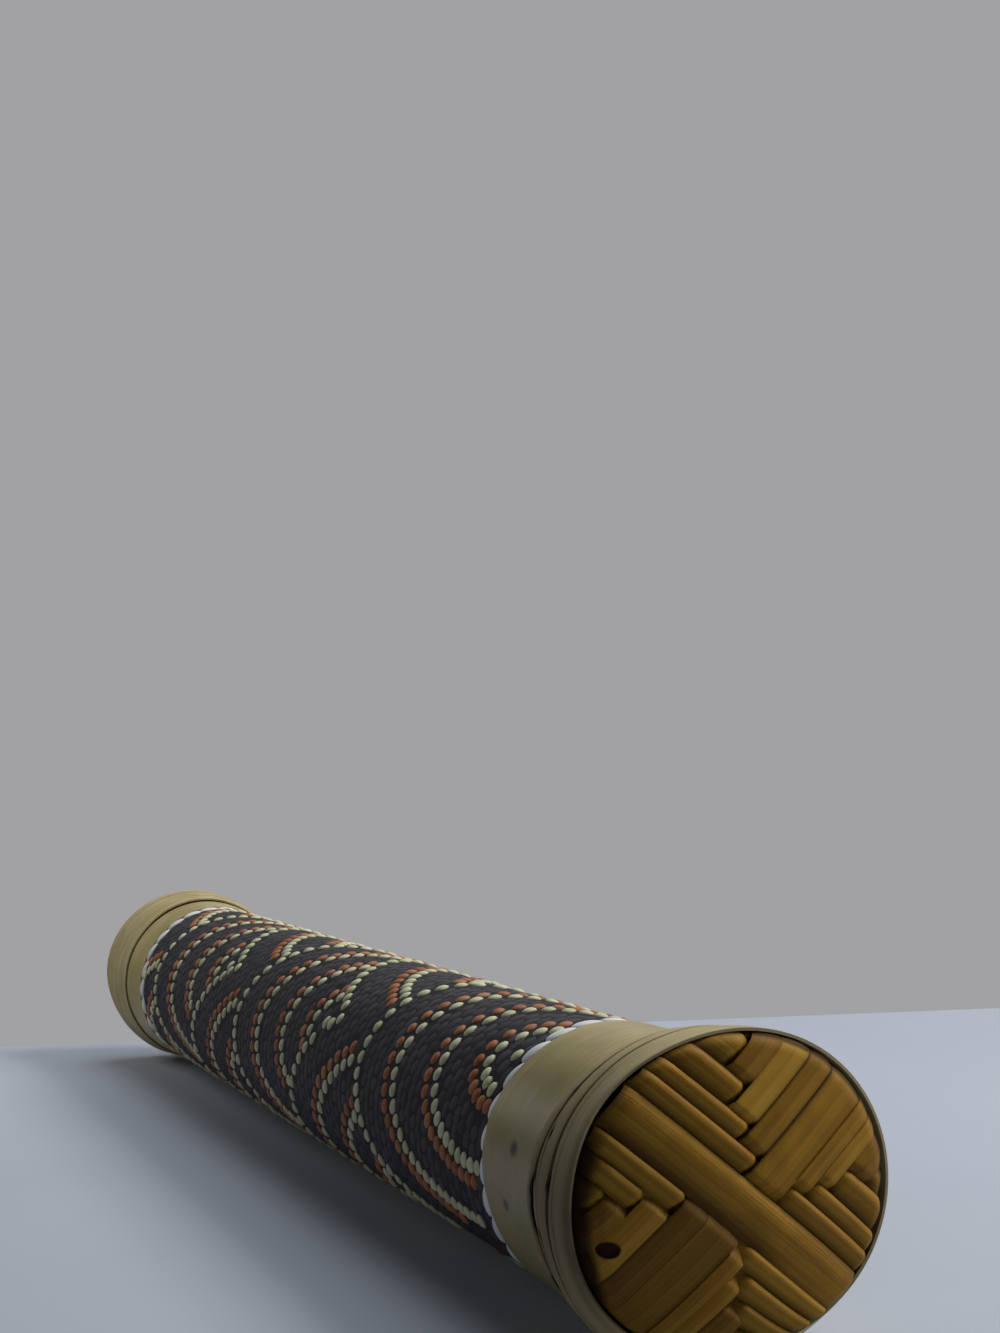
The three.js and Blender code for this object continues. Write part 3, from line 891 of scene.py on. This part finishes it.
# Stitches: half width, half length, height, and the segments and rings that they are modelled with
STITCH_SHAPES = {
    "ground_stitch": (1.8 * MM, 2.45 * MM, 0.25 * MM, 8, 4),
    "yellow_stitch": (1.5 * MM, 1.9 * MM, 0.85 * MM, 10, 6),
    "orange_stitch": (1.65 * MM, 1.9 * MM, 0.8 * MM, 10, 6),
    "edge_stitch": (2.1 * MM, 4.1 * MM, 0.9 * MM, 14, 8),
}


# One small stitch, modelled once: a flat dome, long along Y, kept as points and faces
def model_stitch(name):
    half_width, half_length, height, segments, rings = STITCH_SHAPES[name]
    bpy.ops.mesh.primitive_uv_sphere_add(segments=segments, ring_count=rings, radius=1.0)
    dome = bpy.context.object
    dome.name = name
    bpy.ops.object.mode_set(mode="EDIT")
    bpy.ops.mesh.select_all(action="SELECT")
    bpy.ops.transform.resize(value=(half_width, half_length, height))
    bpy.ops.mesh.bisect(plane_co=(0.0, 0.0, -0.02 * height), plane_no=(0.0, 0.0, 1.0), clear_inner=True)
    bpy.ops.object.mode_set(mode="OBJECT")
    mesh = dome.data
    points = np.array([tuple(vertex.co) for vertex in mesh.vertices])
    faces = [tuple(face.vertices) for face in mesh.polygons]
    bpy.data.objects.remove(dome)
    return points, faces


# How much stitches differ by chance in turn, size and place, and how far apart their fibres are taken
TURN_CHANCE = 0.05
SIZE_CHANCE = 0.04
PLACE_CHANCE = 0.1 * MM
FIBRE_SHIFT = (0.013, 0.007)


# Copies of a stitch on the round of the stick, joined as one piece
def lay_stitches(name, stitch, spots, base_radius, slant, chance, deepest_shade=1.0):
    points, faces = stitch
    count = len(points)
    rise = points[:, 2] / points[:, 2].max()
    all_points = np.empty((len(spots) * count, 3))
    tone = np.empty(len(spots) * count)
    hollow = np.empty(len(spots) * count)
    strip = np.empty((len(spots) * count, 2))
    for index, (x, angle) in enumerate(spots):
        turn = slant + chance.normal(0.0, TURN_CHANCE)
        size = 1.0 + chance.normal(0.0, SIZE_CHANCE, 3)
        wide, long, high = (points * size).T
        across = wide * math.cos(turn) - long * math.sin(turn) + chance.normal(0.0, PLACE_CHANCE)
        along = wide * math.sin(turn) + long * math.cos(turn) + chance.normal(0.0, PLACE_CHANCE)
        radius = base_radius + high
        turned = angle + along / base_radius
        part = slice(index * count, (index + 1) * count)
        all_points[part, 0] = x + across
        all_points[part, 1] = radius * np.cos(turned)
        all_points[part, 2] = AXIS_HEIGHT + radius * np.sin(turned)
        tone[part] = chance.uniform(0.0, 1.0)
        # Painted shade round the base of each stitch
        hollow[part] = deepest_shade * (1.0 - smooth(-0.1, 0.55, rise))
        strip[part, 0] = points[:, 1] + index * FIBRE_SHIFT[0]
        strip[part, 1] = points[:, 0] + index * FIBRE_SHIFT[1]
    all_faces = [tuple(corner + index * count for corner in face)
                 for index in range(len(spots)) for face in faces]
    mesh = bpy.data.meshes.new(name)
    mesh.from_pydata(all_points.tolist(), [], all_faces)
    layer = mesh.uv_layers.new(name="strip")
    corners = np.empty(len(mesh.loops), dtype=np.int32)
    mesh.loops.foreach_get("vertex_index", corners)
    layer.data.foreach_set("uv", strip[corners].astype(np.float32).ravel())
    mesh.polygons.foreach_set("use_smooth", np.ones(len(mesh.polygons), dtype=bool))
    mesh.update()
    piece = bpy.data.objects.new(name, mesh)
    bpy.context.collection.objects.link(piece)
    set_number(piece, "tone", tone)
    set_number(piece, "hollow", hollow)
    return piece


# Sleeve: rows of staggered black stitches, and coloured ones laid in file along nested arcs, like fish scales
SLEEVE_RADIUS = 28.0 * MM
ROWS = 91
STITCHES = 46
ROW_PITCH = (SLEEVE_TO - SLEEVE_FROM) / ROWS
STITCH_TURN = FULL_TURN / STITCHES
STITCH_SLANT = math.radians(16.0)
# Painted shade round the bases of the black stitches
GROUND_BASE_SHADE = 0.25
SLEEVE_EDGE = 1.2 * MM
YELLOW = "yellow"
ORANGE = "orange"

# Middles of the scales: millimetres from the front, degrees round the stick, twist in degrees a millimetre
SCALES = [
    (49.9, 127.5, 0.33), (155.5, 147.0, 0.33), (257.3, 137.0, 0.33),
    (108.2, 226.9, 0.13), (213.5, 225.5, 0.13), (318.8, 226.0, 0.13),
    (91.9, 43.5, 0.46), (190.8, 43.8, 0.46), (290.0, 44.0, 0.46),
    (50.0, 312.0, 0.3), (155.0, 318.0, 0.3), (258.0, 313.0, 0.3),
]

# Half lengths and half widths of the arcs in a scale in millimetres, and what the orange ones add to them
ARCS = [(17.2, 10.4), (36.9, 26.6), (59.2, 39.4)]
OUTER_ARC = (81.8, 54.5)
ORANGE_OFFSET = (4.5, 3.4)

# How far the eye lies behind the middle of its scale, and how far behind it the scales lie that it covers
EYE_OFFSET = 8.0
COVERS_FROM = 30.0

# Radius of the weave, and least distances of a coloured stitch from coloured and black ones, along and round
WEAVE_RADIUS = 28.6
COLOURED_ROOM = (2.6, 3.0)
GROUND_ROOM = (2.2, 2.81)

# Millimetres from stitch to stitch along the stick and round it, and what a file up the slant adds
PITCH_ALONG = 3.3
PITCH_ROUND = 4.1
PITCH_SLANT = 2.6


# Place round the stick, in millimetres from the middle line of a scale
def aside_of(scale, far, angle):
    middle, place, twist = scale
    return round_gap(angle, math.radians(place + twist * (far - middle))) * WEAVE_RADIUS


# A stitch shows unless it lies in the outer arc of a scale beside its own or before it
def stitch_shows(index, far, angle):
    for other, scale in enumerate(SCALES):
        if other == index or scale[0] > SCALES[index][0] + COVERS_FROM:
            continue
        along = (far - scale[0]) / OUTER_ARC[0]
        around = aside_of(scale, far, angle) / OUTER_ARC[1]
        if along ** 2 + around ** 2 < 0.97:
            return False
    return SLEEVE_FROM + SLEEVE_EDGE < far * MM < SLEEVE_TO - SLEEVE_EDGE


# Stitches follow each other more closely along the stick than round it, and least closely up the slant
def stitch_pitch(along, around):
    length = np.hypot(along, around)
    share, other = along / length, around / length
    return PITCH_ALONG * share ** 2 + PITCH_ROUND * other ** 2 + PITCH_SLANT * np.maximum(0.0, share * other)


# Files of stitches: scale, half sizes and colour, first the outer arcs, then the inner and the orange ones
def arc_files():
    scales = range(len(SCALES))
    beside = [(arc[0] + ORANGE_OFFSET[0], arc[1] + ORANGE_OFFSET[1]) for arc in ARCS]
    files = [(index, *OUTER_ARC, YELLOW) for index in scales]
    files += [(index, *arc, YELLOW) for index in scales for arc in ARCS]
    files += [(index, *arc, ORANGE) for index in scales for arc in beside]
    return files


# Coloured stitches in file along the arcs: millimetres from the front, angle round the stick, and colour
def arc_stitches():
    laid = []
    for index, (middle, place, twist) in enumerate(SCALES):
        eye = (middle + EYE_OFFSET, math.radians(place + twist * EYE_OFFSET))
        if stitch_shows(index, *eye):
            laid.append((*eye, YELLOW))
    share = np.linspace(0.0, FULL_TURN, 1441)
    for index, half_length, half_width, colour in arc_files():
        middle, place, twist = SCALES[index]
        lengthwise = half_length * np.cos(share)
        fars = middle + lengthwise
        angles = np.radians(place + twist * lengthwise) + half_width * np.sin(share) / WEAVE_RADIUS
        along, around = np.diff(fars), np.diff(angles) * WEAVE_RADIUS
        walked = np.append(0.0, np.cumsum(np.hypot(along, around) / stitch_pitch(along, around)))
        count = round(walked[-1])
        marks = (np.arange(count) + 0.5) * walked[-1] / count
        for far, angle in zip(np.interp(marks, walked, fars), np.interp(marks, walked, angles)):
            if not stitch_shows(index, far, angle):
                continue
            near = [math.hypot((far - other[0]) / COLOURED_ROOM[0],
                               round_gap(angle, other[1]) * WEAVE_RADIUS / COLOURED_ROOM[1])
                    for other in laid]
            if min(near) > 1.0:
                laid.append((far, angle, colour))
    return laid


# Black stitches in staggered rows wherever no coloured one lies
def ground_stitches(coloured):
    fars = np.array([far for far, angle, colour in coloured])
    angles = np.array([angle for far, angle, colour in coloured])
    ground = []
    for row in range(ROWS):
        far = SLEEVE_FROM / MM + (row + 0.5) * ROW_PITCH / MM
        for column in range(STITCHES):
            angle = (column + 0.5 * (row % 2)) * STITCH_TURN
            around = round_gap(angles, angle) * WEAVE_RADIUS
            if np.hypot((fars - far) / GROUND_ROOM[0], around / GROUND_ROOM[1]).min() > 1.0:
                ground.append((HALF_LENGTH - far * MM, angle))
    return ground


def make_sleeve():
    chance = np.random.default_rng(7)
    coloured = arc_stitches()
    ground = ground_stitches(coloured)
    black = model_stitch("ground_stitch")
    yellow = model_stitch("yellow_stitch")
    orange = model_stitch("orange_stitch")
    piece = lay_stitches("sleeve_black", black, ground, SLEEVE_RADIUS, STITCH_SLANT, chance, GROUND_BASE_SHADE)
    hand_over(piece, black_strip, ["woven_sleeve"])
    kinds = [(YELLOW, "sleeve_yellow", yellow, yellow_strip), (ORANGE, "sleeve_orange", orange, orange_strip)]
    for colour, name, stitch, material in kinds:
        spots = [(HALF_LENGTH - far * MM, angle) for far, angle, which in coloured if which == colour]
        piece = lay_stitches(name, stitch, spots, SLEEVE_RADIUS, STITCH_SLANT, chance)
        hand_over(piece, material)


# Dark sheet under the stitches, painted shade that shows between them
SHADE_SHEET_RADIUS = 28.1 * MM
SHADE_SHEET_RIB = 0.1 * MM
SHADE_SHEET_THICKNESS = 0.9 * MM
SHADE_SHEET_DARKNESS = 0.7


def make_sleeve_bed():
    def wrap(along, across):
        angle = along * FULL_TURN
        radius = SHADE_SHEET_RADIUS + SHADE_SHEET_RIB * np.cos(angle * STITCHES)
        depth = SLEEVE_FROM + across * (SLEEVE_TO - SLEEVE_FROM)
        return round_end("front", radius, angle, depth), np.full(len(along), SHADE_SHEET_DARKNESS)

    piece = bent_sheet("sleeve_bed", 184, 60, length=0.18, width=0.3, place=wrap)
    thicken(piece, SHADE_SHEET_THICKNESS, from_axis, closed=True)
    hand_over(piece, shadow_strip, tone=0.5)


# White stitches along the edges of the sleeve, close behind the collars
EDGE_STITCHES = 26
EDGE_STITCH_RADIUS = 27.95 * MM
EDGE_STITCH_SLANT = math.radians(22.0)
# Painted shade round the bases of the white stitches
EDGE_STITCH_BASE_SHADE = 0.7
PAST_COLLAR = 2.9 * MM


def make_edge_stitches(end):
    chance = np.random.default_rng(90 + ENDS.index(end))
    depth = COLLAR_FROM + COLLAR_LENGTH[end] + PAST_COLLAR
    x = FACING[end] * (HALF_LENGTH - depth)
    stitch = model_stitch("edge_stitch")
    spots = [(x, number * FULL_TURN / EDGE_STITCHES) for number in range(EDGE_STITCHES)]
    piece = lay_stitches(f"{end}_white_stitches", stitch, spots, EDGE_STITCH_RADIUS, EDGE_STITCH_SLANT,
                         chance, EDGE_STITCH_BASE_SHADE)
    hand_over(piece, white_strip, [f"{end}_edge_stitching"])


make_sleeve()
make_sleeve_bed()
for end in ENDS:
    make_edge_stitches(end)

# Pieces inside keep their own shape and get their finish
for name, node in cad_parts.items():
    finish = None
    if name == "core_tube":
        finish = bamboo
    elif name.endswith("_plug"):
        finish = plug_wood
    elif name.startswith("peg_"):
        finish = peg_wood
    elif name.startswith("pebble_"):
        finish = pebble_stone
    if finish is not None:
        node.data.materials.clear()
        node.data.materials.append(finish)

# Pale table top with its back edge just behind the stick: a point on that edge, its direction, and sizes
TABLE_BACK = Vector((-0.245, -0.063, -0.0002))
TABLE_ALONG = Vector((0.087, 0.444, 0.0)).normalized()
TABLE_AHEAD = Vector((TABLE_ALONG.y, -TABLE_ALONG.x, 0.0))
TABLE_HALF_WIDTH = 2.0
TABLE_DEPTH = 3.0

bpy.ops.object.select_all(action="DESELECT")
bpy.ops.mesh.primitive_plane_add(size=1.0, location=(0.0, 0.0, 0.0))
table = bpy.context.object
table.name = "table_top"
for vertex in table.data.vertices:
    side = math.copysign(TABLE_HALF_WIDTH, vertex.co.x)
    ahead = TABLE_DEPTH if vertex.co.y > 0.0 else 0.0
    vertex.co = TABLE_BACK + TABLE_ALONG * side + TABLE_AHEAD * ahead
table.data.materials.append(table_finish("table_paint"))

# Gentle even fill, and a plain grey wall where the camera looks past the table
FILL = (0.059, 0.0592, 0.063, 1.0)
WALL = (0.36, 0.36, 0.375, 1.0)

world = bpy.context.scene.world or bpy.data.worlds.new("studio")
bpy.context.scene.world = world
world.use_nodes = True
sky = Shade(world.node_tree)
seen = sky.node("ShaderNodeLightPath", None, None, "Is Camera Ray")
background = world.node_tree.nodes["Background"]
world.node_tree.links.new(blended(seen, FILL, WALL).socket, background.inputs["Color"])
background.inputs["Strength"].default_value = 1.0


# A square lamp at a place, turned to its target, with its size in metres and its power in watts
def soft_lamp(name, place, target, size, power, colour):
    bpy.ops.object.light_add(type="AREA", location=place)
    lamp = bpy.context.object
    lamp.name = name
    lamp.data.size = size
    lamp.data.energy = power
    lamp.data.color = colour
    lamp.rotation_euler = (Vector(target) - Vector(place)).to_track_quat("-Z", "Y").to_euler()


soft_lamp("key_lamp", (0.42, 0.8, 0.95), (0.1, 0.0, 0.03), 0.45, 12.1, (1.0, 0.98, 0.95))
soft_lamp("back_lamp", (-0.23, -0.16, 0.15), (-0.2, 0.0, 0.03), 0.1, 0.1, (1.0, 0.99, 0.97))
soft_lamp("low_lamp", (0.74, 1.58, 0.115), (0.2, 0.02, 0.025), 0.6, 8.0, (1.0, 0.98, 0.94))
soft_lamp("rear_lamp", (-0.75, 0.3, 0.25), (-0.2, 0.0, 0.03), 0.4, 0.28, (1.0, 0.98, 0.95))
soft_lamp("top_lamp", (-0.2, 0.25, 1.1), (0.0, 0.0, 0.03), 0.8, 5.8, (0.88, 0.94, 1.0))

# Camera at the photograph's place: low, in front of the near end and to its left
CAMERA_PLACE = (0.4729, -0.1765, 0.1165)
CAMERA_TURN = 0.4363
CAMERA_TILT = 0.0546
CAMERA_LENS = 45.91

bpy.ops.object.camera_add(location=CAMERA_PLACE)
camera = bpy.context.object
level = math.cos(CAMERA_TILT)
look = Vector((-math.cos(CAMERA_TURN) * level, math.sin(CAMERA_TURN) * level, math.sin(CAMERA_TILT)))
camera.rotation_euler = look.to_track_quat("-Z", "Y").to_euler()
camera.data.sensor_width = 36.0
camera.data.lens = CAMERA_LENS
camera.data.clip_start = 0.01
bpy.context.scene.camera = camera
bpy.context.scene.view_settings.view_transform = "Standard"
